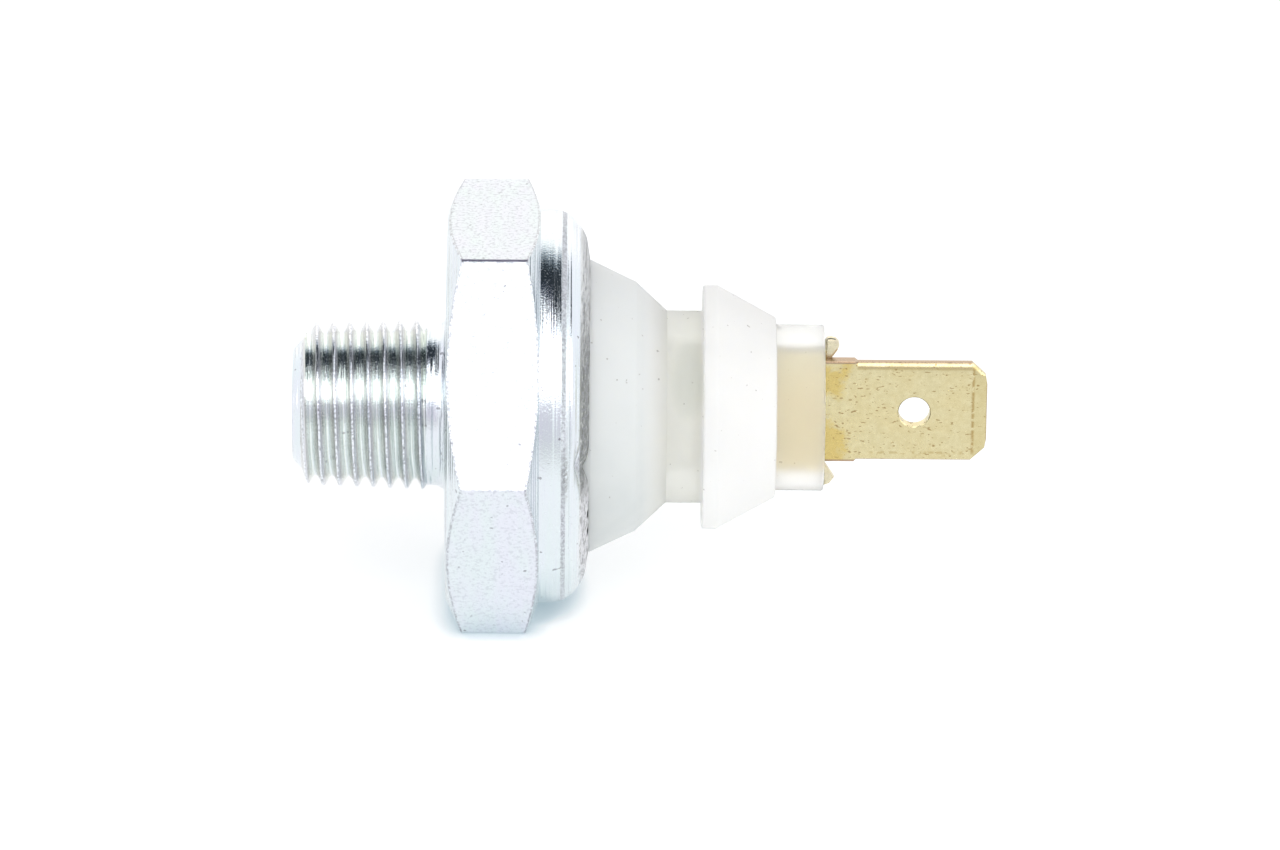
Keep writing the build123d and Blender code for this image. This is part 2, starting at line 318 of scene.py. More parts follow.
def thread_rows(angles):
    """Rows that run along the helix, from the lead-in chamfer to the run-out."""
    phases = sorted([-0.499] + [-phase for phase in half_phases[1:]] + half_phases + [0.5])
    first = math.floor(end_chamfer_x - thread_phase - 1)
    last = math.ceil(thread_stop_x - thread_phase)
    rows = []
    for turn in range(first, last + 1):
        for phase in phases:
            x = np.clip(turn + phase + thread_phase + angles / 360, end_chamfer_x, thread_stop_x)
            if np.all(x == end_chamfer_x) or np.all(x == thread_stop_x):
                continue
            outside = gauge_radius + (x - gauge_x) * thread_taper
            radius = outside - thread_drop(phase)
            if abs(phase) < crest_share:
                uneven = ring_noise(x * crest_noise_along, crest_noise_around, angles)
                radius = radius + crest_roughness * uneven * (1 - 2 * abs(phase))
            lead = np.interp(x, [p[0] for p in lead_in], [p[1] for p in lead_in])
            lead = np.where(x > lead_in[-1][0], 99, lead)
            radius = np.minimum(radius, lead)
            fade = smoothstep(run_out_start_x, run_out_end_x, x)
            rows.append((x, radius * (1 - fade) + shank_radius * fade, 1 - fade, phase + 0.5))
    return rows


def curve_points(corners, step):
    """Points at an even step along a smooth curve through the corners."""
    corners = [np.array(corner, float) for corner in corners]
    padded = [2 * corners[0] - corners[1]] + corners + [2 * corners[-1] - corners[-2]]
    points = []
    for before, start, end, after in zip(padded, padded[1:], padded[2:], padded[3:]):
        count = max(2, round(np.linalg.norm(end - start) / step))
        for share in np.arange(count) / count:
            square, cube = share ** 2, share ** 3
            points.append(0.5 * (
                2 * start + (end - before) * share
                + (2 * before - 5 * start + 4 * end - after) * square
                + (3 * start - before - 3 * end + after) * cube
            ))
    return points + [corners[-1]]


def soft_corner(start, corner, end, count=4):
    """A row for each point of a small curve from start to end that bends at corner."""
    rows = []
    for share in np.linspace(0, 1, count):
        x = start[0] * (1 - share) ** 2 + 2 * corner[0] * share * (1 - share) + end[0] * share ** 2
        radius = start[1] * (1 - share) ** 2 + 2 * corner[1] * share * (1 - share) + end[1] * share ** 2
        rows.append((x, radius))
    return rows


def hexagon_rows(angles):
    """Rows over the seat chamfer, the flats and the back chamfer, with softened edges."""
    outline = hexagon_radius(angles)
    soft = hex_edge_softness
    seat_x = (outline - seat_chamfer_radius) * seat_chamfer_slope
    back_x = hex_end_x - (outline - back_chamfer_radius) * back_chamfer_slope
    seat_start = (seat_x - soft * seat_chamfer_slope, outline - soft)
    seat = soft_corner(seat_start, (seat_x, outline), (seat_x + soft, outline))
    back_end = (back_x + soft * back_chamfer_slope, outline - soft)
    back = soft_corner((back_x - soft, outline), (back_x, outline), back_end)
    return seat, back


def body_rows(angles):
    """All rows of the body, each with x, radius and five values for its material."""
    ones = np.ones_like(angles)
    rows = []

    def add(x, radius, turned=1.0, grain=0.0, edge=0.0, thread=0.0, phase=0.0):
        rows.append(tuple(value * ones for value in (x, radius, turned, grain, edge, thread, phase)))

    for x, radius in stub_profile:
        add(x, radius)
    for x, radius, thread, phase in thread_rows(angles):
        add(x, radius, thread=thread, phase=phase)
    for x in np.arange(thread_stop_x, -fillet_radius, shank_step):
        add(x, shank_radius)
    for turn in np.linspace(0, 90, 7):
        across = fillet_radius * (1 - math.cos(math.radians(turn)))
        along = fillet_radius * (1 - math.sin(math.radians(turn)))
        add(-along, shank_radius + across)
    for radius in seat_radii:
        add(0.0, radius)
    add(0.0, seat_chamfer_radius - edge_margin)
    add(0.6 * seat_edge, seat_chamfer_radius + seat_edge)
    seat, back = hexagon_rows(angles)
    add(seat[0][0] - edge_margin * seat_chamfer_slope, seat[0][1] - edge_margin)
    for number, (x, radius) in enumerate(seat):
        add(x, radius, turned=1 - number / (len(seat) - 1), edge=1.0)
    add(seat[-1][0] + edge_margin, seat[-1][1], turned=0.0)
    add((seat[-1][0] + back[0][0]) / 2, seat[-1][1], turned=0.0)
    add(back[0][0] - edge_margin, back[0][1], turned=0.0)
    for number, (x, radius) in enumerate(back):
        add(x, radius, turned=number / (len(back) - 1), edge=1.0)
    add(back[-1][0] + edge_margin * back_chamfer_slope, back[-1][1] - edge_margin)
    add(collar_start_x - seat_edge, collar_radius + seat_edge)
    add(collar_start_x, collar_radius)
    add_rolled_rows(add, angles)
    for x, radius in bore_profile:
        add(x, radius)
    return rows


def lip_dent(angles, radius):
    """How far the lip is knocked in, round the axis. The dent leans as it runs inwards."""
    middle = dent_angle + dent_lean * (dent_radius - radius)
    return dent_depth * np.exp(-np.abs((angles - middle) / dent_half_width) ** 1.4)


def add_rolled_rows(add, angles):
    """The collar's outside with the crimping tool's lines, the serrated band and the dented lip."""
    for x, radius in curve_points(rolled_outside, rolled_step):
        for line_x, depth, half_width in crimp_lines:
            radius = radius - depth * math.exp(-((x - line_x) / half_width) ** 2)
        band = smoothstep(serrated_start_x, serrated_start_x + serration_fade, x)
        band *= 1 - smoothstep(serrated_end_x - serration_fade, serrated_end_x, x)
        bite = ring_noise(x * serration_noise_along, serration_noise_around, angles)
        uneven = serration_depth * band * (bite - 0.3)
        depth = lip_dent(angles, radius) * smoothstep(dent_start_x, dent_start_x + dent_fade, x)
        inward = depth * smoothstep(lip_radius, lip_radius + 1.5, radius) * 0.5
        grain = max(band, smoothstep(lip_grain_start_x, lip_grain_end_x, x))
        add(x - depth, radius + uneven - inward, turned=1 - 0.8 * grain, grain=grain)
    add(lip_end_x - 0.03 - lip_dent(angles, lip_radius), lip_radius)


def make_body():
    """The body as a watertight grid that closes on itself through the port and the bore."""
    angles = ring_angles()
    turn = np.radians(angles)
    rows = body_rows(angles)
    columns = len(angles)
    points = np.concatenate([
        np.stack([x, radius * np.cos(turn), radius * np.sin(turn)], axis=1) for x, radius, *_ in rows
    ])
    faces = []
    for row in range(len(rows)):
        here = row * columns
        ahead = ((row + 1) % len(rows)) * columns
        faces += [(here + c, here + c + 1, ahead + c + 1, ahead + c) for c in range(columns - 1)]
    attributes = {}
    for place, label in enumerate(("turned", "grain", "edge", "thread", "phase"), start=2):
        attributes[label] = np.concatenate([row[place] for row in rows])
    piece = mesh_object("body_shell", points, faces, "sender", attributes)
    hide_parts("steel_body")
    return piece


# Brass terminal: flat plates, each made of outline rings between its two faces

def inset(outline, distance):
    """A convex or nearly convex outline moved inwards by a distance, corner by corner."""
    points = [Vector(point) for point in outline]
    area = sum(a.x * b.y - b.x * a.y for a, b in zip(points, points[1:] + points[:1]))
    side = 1 if area > 0 else -1
    moved = []
    for before, here, after in zip(points[-1:] + points[:-1], points, points[1:] + points[:1]):
        first = (here - before).normalized()
        second = (after - here).normalized()
        normal = (Vector((-first.y, first.x)) + Vector((-second.y, second.x))) * side
        share = distance / max(normal.length_squared / 2, 0.3)
        moved.append(tuple(here + normal * share))
    return moved


def ring_faces(start, count, rings):
    """Faces that join rings of points, each ring to the next."""
    faces = []
    for ring in range(rings - 1):
        here = start + ring * count
        for corner in range(count):
            after = (corner + 1) % count
            faces.append((here + corner, here + after, here + count + after, here + count + corner))
    return faces


def plate(rings, hole=None):
    """Points and faces of a plate from rings of (x, y, z) points round its edge and its hole."""
    loops = [rings] if hole is None else [rings, hole]
    points = []
    faces = []
    starts = []
    for loop in loops:
        starts.append(len(points))
        faces += ring_faces(len(points), len(loop[0]), len(loop))
        points += [point for ring in loop for point in ring]
    for end in (0, -1):
        numbers = []
        for start, loop in zip(starts, loops):
            first = start if end == 0 else start + (len(loop) - 1) * len(loop[0])
            numbers += range(first, first + len(loop[0]))
        flat = tessellate_polygon([[Vector((x, z, 0)) for x, y, z in loop[end]] for loop in loops])
        faces += [tuple(numbers[corner] for corner in triangle) for triangle in flat]
    return points, faces


def level(outline, y):
    """An outline of (x, z) points at one y."""
    return [(x, y, z) for x, z in outline]


def blade_outline(share):
    """The blade's outline: at share 0 round its rim, at share 1 round the flat of its face."""
    pairs = zip(rim_corners, flat_corners)
    upper = [(a + (c - a) * share, b + (d - b) * share) for (a, b), (c, d) in pairs]
    outline = upper + [(x, -z) for x, z in reversed(upper)]
    return [(x, z - blade_drop) for x, z in outline]


def make_blade():
    """The blade with its rounded coined edges, bevelled tip and hole."""
    rings = []
    for share in bevel_shares:
        side_y = half_brass - edge_bevel_depth * (1 - share) ** edge_roundness
        tip_y = half_brass - tip_bevel_depth * (1 - share)
        base_y = half_brass - base_bevel_depth * (1 - share) ** base_roundness
        outline = blade_outline(share)
        heights = [base_y, base_y, side_y, side_y, tip_y, tip_y]
        heights += heights[::-1]
        rings.append([(x, y, z) for (x, z), y in zip(outline, heights)])
    back = [[(x, -y, z) for x, y, z in ring] for ring in reversed(rings)]
    turns = np.linspace(0, 2 * math.pi, 48, endpoint=False)
    hole = []
    for radius, y in (
        (hole_radius + hole_rim, -half_brass), (hole_radius, hole_rim - half_brass),
        (hole_radius, half_brass - hole_rim), (hole_radius + hole_rim, half_brass),
    ):
        circle = [(hole_x + radius * math.cos(t), radius * math.sin(t) - blade_drop) for t in turns]
        hole.append(level(circle, y))
    return plate(back + rings, hole)


def rounded_plate(outline, low, high, softness):
    """A plate whose rims are rounded a little."""
    small = softness * 0.3
    steps = [
        (softness, low), (small, low + small), (0, low + softness),
        (0, high - softness), (small, high - small), (softness, high),
    ]
    return plate([level(inset(outline, distance), y) for distance, y in steps])


def foot_plate(side):
    """Half of the strip's bent foot, which the spring pushes on."""
    start = math.asin(foot_gap / foot_reach)
    end = math.acos(-half_brass / foot_reach)
    arc = [(foot_reach * math.cos(t), foot_reach * math.sin(t)) for t in np.linspace(start, end, 14)]
    outline = [(side * y, side * z) for y, z in [(-half_brass, foot_gap)] + arc]
    points, faces = plate([level(outline, foot_x), level(outline, strip_start_x)])
    return [(x, y, z) for y, x, z in points], faces


def make_terminal():
    """The stamping: foot, strip, ears and blade."""
    strip = [
        (strip_start_x, -strip_half_width), (strip_end_x, -strip_half_width),
        (strip_end_x, strip_half_width), (strip_start_x, strip_half_width),
    ]
    ear_low = ear_side - ear_half_thickness
    ear_high = ear_side + ear_half_thickness
    plates = [
        make_blade(),
        rounded_plate(strip, -half_brass, half_brass, strip_softness),
        rounded_plate(upper_ear, ear_low, ear_high, ear_softness),
        rounded_plate(lower_ear, -ear_high, -ear_low, ear_softness),
        foot_plate(1),
        foot_plate(-1),
    ]
    points = []
    faces = []
    for more_points, more_faces in plates:
        shift = len(points)
        points += more_points
        faces += [tuple(corner + shift for corner in face) for face in more_faces]
    piece = mesh_object("terminal_stamping", points, faces, "sender", sharp_angle=12.0)
    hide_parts("terminal_blade")
    return piece


# Contact spring

def make_spring():
    """The contact spring between the terminal's foot and the lifted contact, copied from the CAD part with
    its place baked in.
    """
    piece = bpy.data.objects.new("lift_spring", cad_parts["contact_spring"].data.copy())
    bpy.context.scene.collection.objects.link(piece)
    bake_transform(piece)
    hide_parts("contact_spring")
    return piece


# Materials

class Shader:
    """Short ways to add nodes to one node tree."""

    def __init__(self, tree):
        self.tree = tree
        tree.nodes.clear()

    def add(self, kind, *values, **settings):
        """A node of a kind, with its settings and its inputs in order."""
        made = self.tree.nodes.new(kind)
        for label, value in settings.items():
            setattr(made, label, value)
        for socket, value in zip(made.inputs, values):
            self.feed(socket, value)
        return made

    def feed(self, socket, value):
        """A link into a socket, or a constant on it."""
        if isinstance(value, bpy.types.NodeSocket):
            self.tree.links.new(value, socket)
        elif value is not None:
            socket.default_value = value

    def math(self, operation, *values):
        return self.add("ShaderNodeMath", *values, operation=operation).outputs[0]

    def times(self, first, *others):
        """The product of several values."""
        for other in others:
            first = self.math("MULTIPLY", first, other)
        return first

    def plus(self, first, second):
        return self.math("ADD", first, second)

    def away(self, value, centre):
        """How far a value lies from a centre, on either side."""
        return self.math("ABSOLUTE", self.math("SUBTRACT", value, centre))

    def length(self, first, second):
        """The length of a vector from two of its parts."""
        return self.math("SQRT", self.plus(self.times(first, first), self.times(second, second)))

    def range(self, value, low, high, to_low=0.0, to_high=1.0, smooth=False):
        """A value moved from one range to another and held within it."""
        kind = "SMOOTHSTEP" if smooth else "LINEAR"
        made = self.add("ShaderNodeMapRange", value, low, high, to_low, to_high, interpolation_type=kind)
        return made.outputs[0]

    def blend(self, share, first, second):
        """A mix of two colours."""
        made = self.add("ShaderNodeMix", data_type="RGBA")
        self.feed(made.inputs[0], share)
        for socket, value in zip((made.inputs[6], made.inputs[7]), (first, second)):
            self.feed(socket, (*value, 1) if isinstance(value, tuple) else value)
        return made.outputs[2]

    def coat(self, under, mask, strength, colour):
        """A colour laid over another where a mask is, at a strength."""
        return self.blend(self.times(mask, strength), under, colour)

    def mix(self, share, first, second):
        """A mix of two numbers."""
        made = self.add("ShaderNodeMix", data_type="FLOAT")
        for place, value in zip((0, 2, 3), (share, first, second)):
            self.feed(made.inputs[place], value)
        return made.outputs[0]

    def attribute(self, label):
        return self.add("ShaderNodeAttribute", attribute_name=label).outputs["Fac"]

    def noise(self, vector, scale, detail=2.0, roughness=0.5, w=None):
        """A noise pattern, of four dimensions where w is given."""
        made = self.add("ShaderNodeTexNoise", noise_dimensions="3D" if w is None else "4D")
        self.feed(made.inputs["Vector"], vector)
        if w is not None:
            self.feed(made.inputs["W"], w)
        made.inputs["Scale"].default_value = scale
        made.inputs["Detail"].default_value = detail
        made.inputs["Roughness"].default_value = roughness
        return made.outputs["Fac"]

    def position(self):
        """The place on the object in millimetres, as a vector and its three parts."""
        place = self.add("ShaderNodeTexCoord").outputs["Object"]
        scaled = self.add("ShaderNodeVectorMath", place, (1 / MM,) * 3, operation="MULTIPLY").outputs[0]
        parts = self.add("ShaderNodeSeparateXYZ", scaled).outputs
        return scaled, parts[0], parts[1], parts[2]

    def vector(self, x, y, z):
        return self.add("ShaderNodeCombineXYZ", x, y, z).outputs[0]

    def ramp(self, value, stops):
        """Grey levels or colours at stops between 0 and 1."""
        made = self.add("ShaderNodeValToRGB", value)
        band = made.color_ramp
        band.interpolation = "EASE"
        for number, (place, level) in enumerate(stops):
            stop = band.elements[number] if number < 2 else band.elements.new(place)
            stop.position = place
            stop.color = (*level, 1) if isinstance(level, tuple) else (level, level, level, 1)
        return made.outputs[0]

    def bump(self, height, distance, before=None):
        """A change of the surface's slope from a height pattern, in metres."""
        made = self.add("ShaderNodeBump")
        made.inputs["Strength"].default_value = 1.0
        made.inputs["Distance"].default_value = distance
        self.feed(made.inputs["Height"], height)
        if before is not None:
            self.feed(made.inputs["Normal"], before)
        return made.outputs[0]

    def surface(self, settings, links):
        """A Principled surface as the tree's output."""
        made = self.add("ShaderNodeBsdfPrincipled")
        for label, value in settings.items():
            made.inputs[label].default_value = value
        for label, value in links.items():
            self.feed(made.inputs[label], value)
        out = self.add("ShaderNodeOutputMaterial")
        self.tree.links.new(made.outputs[0], out.inputs[0])


class Turned:
    """Patterns that run round the axis, for a surface cut on a lathe."""

    def __init__(self, shader, x, y, z):
        self.shader = shader
        self.x = x
        self.radius = shader.length(y, z)
        held = shader.math("MAXIMUM", self.radius, 0.01)
        self.cosine = shader.math("DIVIDE", y, held)
        self.sine = shader.math("DIVIDE", z, held)

    def noise(self, along, around, scale, detail, roughness):
        """Noise with its own scale along the profile and round the axis."""
        s = self.shader
        across = s.vector(s.times(self.x, along), s.times(self.radius, along), s.times(self.cosine, around))
        return s.noise(across, scale, detail, roughness, w=s.times(self.sine, around))


def new_material(name):
    """A material with an empty node tree, and the short ways to fill it."""
    material = bpy.data.materials.new(name)
    material.use_nodes = True
    return material, Shader(material.node_tree)


def flank_light_and_burrs(s, tint, thread, speckle, place):
    """The thread's tint with painted highlights and shade by the place between two crests, and the burrs on
    its crests.
    """
    phase = s.attribute("phase")
    # Painted highlights and shade by the place between two roots, with the crest at 0.5: a bright band on
    # the crest, light near the roots, and darker flanks that are darkest just beside the crest on one side.
    stops = [
        (0.0, (0.8, 0.85, 0.84)), (0.1, (0.88, 0.92, 1.0)), (0.2, (0.66, 0.66, 0.67)),
        (0.33, (0.54, 0.52, 0.51)), (0.42, (0.44, 0.42, 0.43)), (0.465, (0.92, 0.92, 0.97)),
        (0.53, (0.9, 0.9, 0.97)), (0.58, (0.68, 0.67, 0.75)), (0.66, (0.58, 0.55, 0.56)),
        (0.74, (0.66, 0.65, 0.58)), (0.82, (0.78, 0.8, 0.7)), (0.93, (0.77, 0.82, 0.74)),
        (1.0, (0.8, 0.85, 0.84)),
    ]
    wavy = s.plus(phase, s.range(speckle, 0.3, 0.7, -0.03, 0.03))
    tint = s.coat(tint, thread, 0.85, s.ramp(wavy, stops))
    burrs = s.range(s.noise(place, 8.0, 2.0, 0.6), 0.5, 0.57)
    burrs = s.times(burrs, s.range(s.away(phase, 0.5), 0.11, 0.07), thread)
    return s.coat(tint, burrs, 0.7, (0.16, 0.16, 0.19))


def lip_streaks_and_shade(s, x, z, radius):
    """The rolled lip's streaky tint, with painted shade darkest at the middle of its height and lighter
    above and below.
    """
    stripes = s.noise(s.vector(s.times(x, 9.0), radius, s.times(z, 2.2)), 1.0, 4.0, 0.75)
    # Painted shade: the lip's face is darkest between these heights and lighter above and below them.
    tint = s.blend(s.range(z, 6.0, 8.6), (0.28, 0.29, 0.28), (0.58, 0.59, 0.59))
    tint = s.blend(s.range(z, -0.5, -2.2), tint, (0.72, 0.72, 0.74))
    tint = s.blend(s.range(stripes, 0.48, 0.6, 0.0, 0.6), tint, (0.14, 0.14, 0.13))
    return s.blend(s.range(stripes, 0.46, 0.34, 0.0, 0.7), tint, (0.7, 0.71, 0.7))


def painted_slot_shade(s, y, z, radius, lip):
    """Two short black slots, painted shade where the lip stands off the nylon."""
    from_slot = s.away(s.away(z, slot_middle_z), slot_half_spacing)
    slots = s.times(s.range(from_slot, 0.32, 0.24), s.range(radius, lip_radius + 0.7, lip_radius + 0.62))
    return s.times(slots, lip, s.range(y, -6.4, -6.6))


def zinc_material():
    """Bright zinc plating: streaks round the axis where it is turned, fine grain on flats and lip."""
    material, s = new_material("zinc")
    place, x, y, z = s.position()
    turned, grain, edge, thread = (s.attribute(label) for label in ("turned", "grain", "edge", "thread"))
    flat = s.math("SUBTRACT", 1.0, turned)
    lathe = Turned(s, x, y, z)
    radius = lathe.radius
    streaks = lathe.noise(6.0, 2.0, 1.0, 5.0, 0.7)
    ridges = lathe.noise(4.6, 1.2, 1.0, 1.0, 0.4)
    broad = lathe.noise(1.0, 1.5, 1.1, 2.0, 0.5)
    speckle = s.noise(place, 6.0, 3.0, 0.6)
    fine = s.noise(place, 8.0, 3.0, 0.65)
    lip = s.range(x, lip_start_x, lip_start_x + 0.1)
    lip = s.times(lip, s.range(radius, lip_radius - 0.2, lip_radius - 0.05))

    tint = s.blend(s.range(broad, 0.35, 0.65), (0.7, 0.76, 0.775), (0.72, 0.735, 0.8))
    tint = s.coat(tint, turned, s.range(streaks, 0.55, 0.75, 0.0, 0.35), (0.6, 0.6, 0.74))
    tint = flank_light_and_burrs(s, tint, thread, speckle, place)
    tint = s.coat(tint, turned, 0.25, (0.55, 0.63, 0.63))
    bites = s.range(s.noise(place, 7.0, 2.0, 0.7), 0.44, 0.6, 0.15, 0.75)
    tint = s.coat(tint, grain, bites, (0.33, 0.34, 0.37))
    tint = s.coat(tint, lip, 0.9, lip_streaks_and_shade(s, x, z, radius))
    # Painted shade: black in patches along the lip's inner rim, where it turns in against the nylon.
    crevice_shade = s.times(lip, s.range(radius, lip_radius + 0.35, lip_radius + 0.15))
    crevice_shade = s.times(crevice_shade, s.range(s.noise(place, 0.9, 2.0, 0.6), 0.5, 0.56))
    tint = s.coat(tint, crevice_shade, 0.9, (0.03, 0.03, 0.03))
    tint = s.blend(painted_slot_shade(s, y, z, radius, lip), tint, (0.005, 0.005, 0.005))
    pinholes = s.times(s.range(s.noise(place, 4.5, 2.0, 0.65), 0.52, 0.62), flat)
    tint = s.coat(tint, pinholes, s.range(z, -2.0, 6.0, 0.3, 0.6), (0.42, 0.44, 0.49))

    edge_low = flat_radius - corner_radius * (1 - math.sin(top_edge_turn))
    # Painted reflection: a dark line along the hexagon's upper rounded edge, where it would mirror the dark
    # gap overhead.
    painted_edge_reflection = s.times(
        s.range(z, edge_low, edge_low + 0.03), s.range(z, flat_radius - 0.004, flat_radius - 0.02),
        s.range(radius, *top_edge_radii),
    )
    tint = s.coat(tint, painted_edge_reflection, 0.85, (0.22, 0.2, 0.3))
    # Painted shade: turned surfaces grow darker and more teal towards the bottom.
    underside_shade = s.range(z, -6.0, -10.8, 0.0, 0.6)
    tint = s.coat(tint, turned, underside_shade, (0.42, 0.53, 0.56))
    stain = s.length(s.times(s.away(x, stain_x), 3.3), s.times(s.away(z, stain_z), 0.46))
    stain = s.times(s.range(stain, 1.0, 0.3), s.range(y, -9.0, -10.0), s.range(speckle, 0.35, 0.6))
    tint = s.coat(tint, stain, 0.7, (0.22, 0.23, 0.23))
    dots = s.range(s.noise(place, 2.2, 1.0, 0.4), 0.74, 0.77)
    tint = s.coat(tint, dots, 0.6, (0.16, 0.16, 0.18))
    edge_dots = s.times(edge, s.range(s.noise(place, 6.0, 2.0, 0.6), 0.38, 0.6))
    tint = s.coat(tint, edge_dots, 0.6, (0.2, 0.2, 0.23))

    rough = s.plus(0.32, s.times(turned, -0.21))
    rough = s.plus(rough, s.times(grain, 0.18))
    rough = s.plus(rough, s.times(lip, 0.3))
    rough = s.plus(rough, s.range(speckle, 0.3, 0.7, -0.03, 0.03))
    rough = s.plus(rough, s.times(turned, s.range(fine, 0.6, 0.68, 0.0, 0.3)))
    normal = s.bump(s.times(ridges, turned), 0.00009)
    pebbles = s.times(fine, s.plus(s.times(grain, 0.8), s.mix(turned, 0.5, 0.14)))
    normal = s.bump(pebbles, 0.0001, normal)
    s.surface({"Metallic": 1.0}, {"Base Color": tint, "Roughness": rough, "Normal": normal})
    return material


def brass_dirt(s, tint, x, z, mottle, stretched, rolled):
    """Blots, pits, and the brown rows along the tip's crease and the low edge."""
    place = s.position()[0]
    pit_field = s.noise(stretched, 0.7, 2.0, 0.5)
    blots = s.times(s.range(rolled, 0.6, 0.72), s.range(pit_field, 0.45, 0.6))
    tint = s.coat(tint, blots, 0.5, (0.4, 0.28, 0.1))
    pits = s.plus(s.noise(stretched, 3.2, 1.0, 0.4), s.times(pit_field, 0.35))
    tint = s.coat(tint, s.range(pits, 0.86, 0.9), 0.7, (0.25, 0.15, 0.05))
    crease = s.times(s.range(s.away(x, flat_end_x), 0.13, 0.02), s.range(mottle, 0.4, 0.52))
    crease = s.times(crease, s.range(s.math("ABSOLUTE", z), 2.9, 2.6))
    tint = s.coat(tint, crease, 0.75, (0.34, 0.22, 0.07))
    dashes = s.range(s.noise(place, 4.0, 1.0, 0.5), 0.5, 0.56)
    low_row = s.times(dashes, s.range(s.away(z, low_row_z), 0.12, 0.04))
    low_row = s.times(low_row, s.range(x, base_end_x + 0.4, base_end_x + 1.2))
    return s.coat(tint, low_row, 0.45, (0.38, 0.27, 0.1))


def brass_edges(s, tint, x, z):
    """The brown sheared rim, the duller tip, the paler ears and a painted darker band of shade under the
    upper edge's highlight.
    """
    across = s.away(z, -blade_drop)
    rim = s.math("MAXIMUM", s.range(across, 3.06, 3.13), s.range(x, blade_tip_x - 0.06, blade_tip_x - 0.02))
    rim = s.times(
        rim, s.range(x, tail_end_x, tail_end_x + 0.1),
        s.range(across, base_half_width + 0.04, base_half_width + 0.01),
    )
    tint = s.coat(tint, rim, 0.9, (0.36, 0.25, 0.17))
    tip = s.range(x, flat_end_x, flat_end_x + 0.05)
    tint = s.coat(tint, tip, 0.2, (0.46, 0.36, 0.12))
    ears = s.range(across, base_half_width + 0.02, base_half_width + 0.06)
    ears = s.times(ears, s.range(x, tail_end_x, tail_end_x + 0.05))
    tint = s.coat(tint, ears, 0.6, (0.66, 0.62, 0.5))
    # Painted shade: a brownish band under the upper edge's highlight.
    line = s.times(s.range(s.away(z, upper_shade_band_z), 0.14, 0.06), s.range(x, base_end_x, base_end_x + 0.1))
    return s.coat(tint, line, 0.4, (0.45, 0.33, 0.12))


def brass_material():
    """Dull rolled brass: yellowish grey with golden patches, small pits and dirt along the bevels."""
    material, s = new_material("brass_strip")
    place, x, y, z = s.position()
    cloud = s.noise(place, 0.6, 3.0, 0.6)
    mottle = s.noise(place, 2.4, 4.0, 0.65)
    stretched = s.vector(s.times(x, 1.2), y, s.times(z, 2.6))
    rolled = s.noise(stretched, 1.6, 3.0, 0.6)
    in_nylon = s.range(x, tail_end_x, tail_end_x - 0.1)

    tint = s.blend(s.range(mottle, 0.3, 0.68), (0.65, 0.585, 0.36), (0.58, 0.515, 0.3))
    tint = s.blend(s.range(cloud, 0.4, 0.6, 0.0, 0.3), tint, (0.62, 0.52, 0.27))
    uneven = s.range(s.noise(place, 1.2, 3.0, 0.6), 0.3, 0.7, -0.5, 0.5)
    near_base = s.range(s.plus(x, uneven), tail_end_x + 1.6, tail_end_x + 1.0)
    height = s.plus(z, uneven)
    upper_patch = s.range(s.away(height, upper_patch_z), 1.2, 0.7)
    lower_patch = s.range(s.away(height, lower_patch_z), 1.6, 1.1)
    golden = s.times(near_base, s.math("MAXIMUM", upper_patch, lower_patch))
    tint = s.coat(tint, golden, 0.9, (0.58, 0.45, 0.16))
    strip_tint = s.blend(s.range(z, 0.5, 3.2), (0.9, 0.82, 0.555), (0.94, 0.89, 0.7))
    tint = s.blend(in_nylon, tint, strip_tint)
    tint = brass_dirt(s, tint, x, z, mottle, stretched, rolled)
    tint = brass_edges(s, tint, x, z)

    rough = s.math("MAXIMUM", s.range(mottle, 0.3, 0.7, 0.22, 0.32), s.times(in_nylon, 0.9))
    normal = s.bump(rolled, 0.00001)
    normal = s.bump(mottle, 0.000012, normal)
    s.surface({"Metallic": 1.0}, {"Base Color": tint, "Roughness": rough, "Normal": normal})
    return material


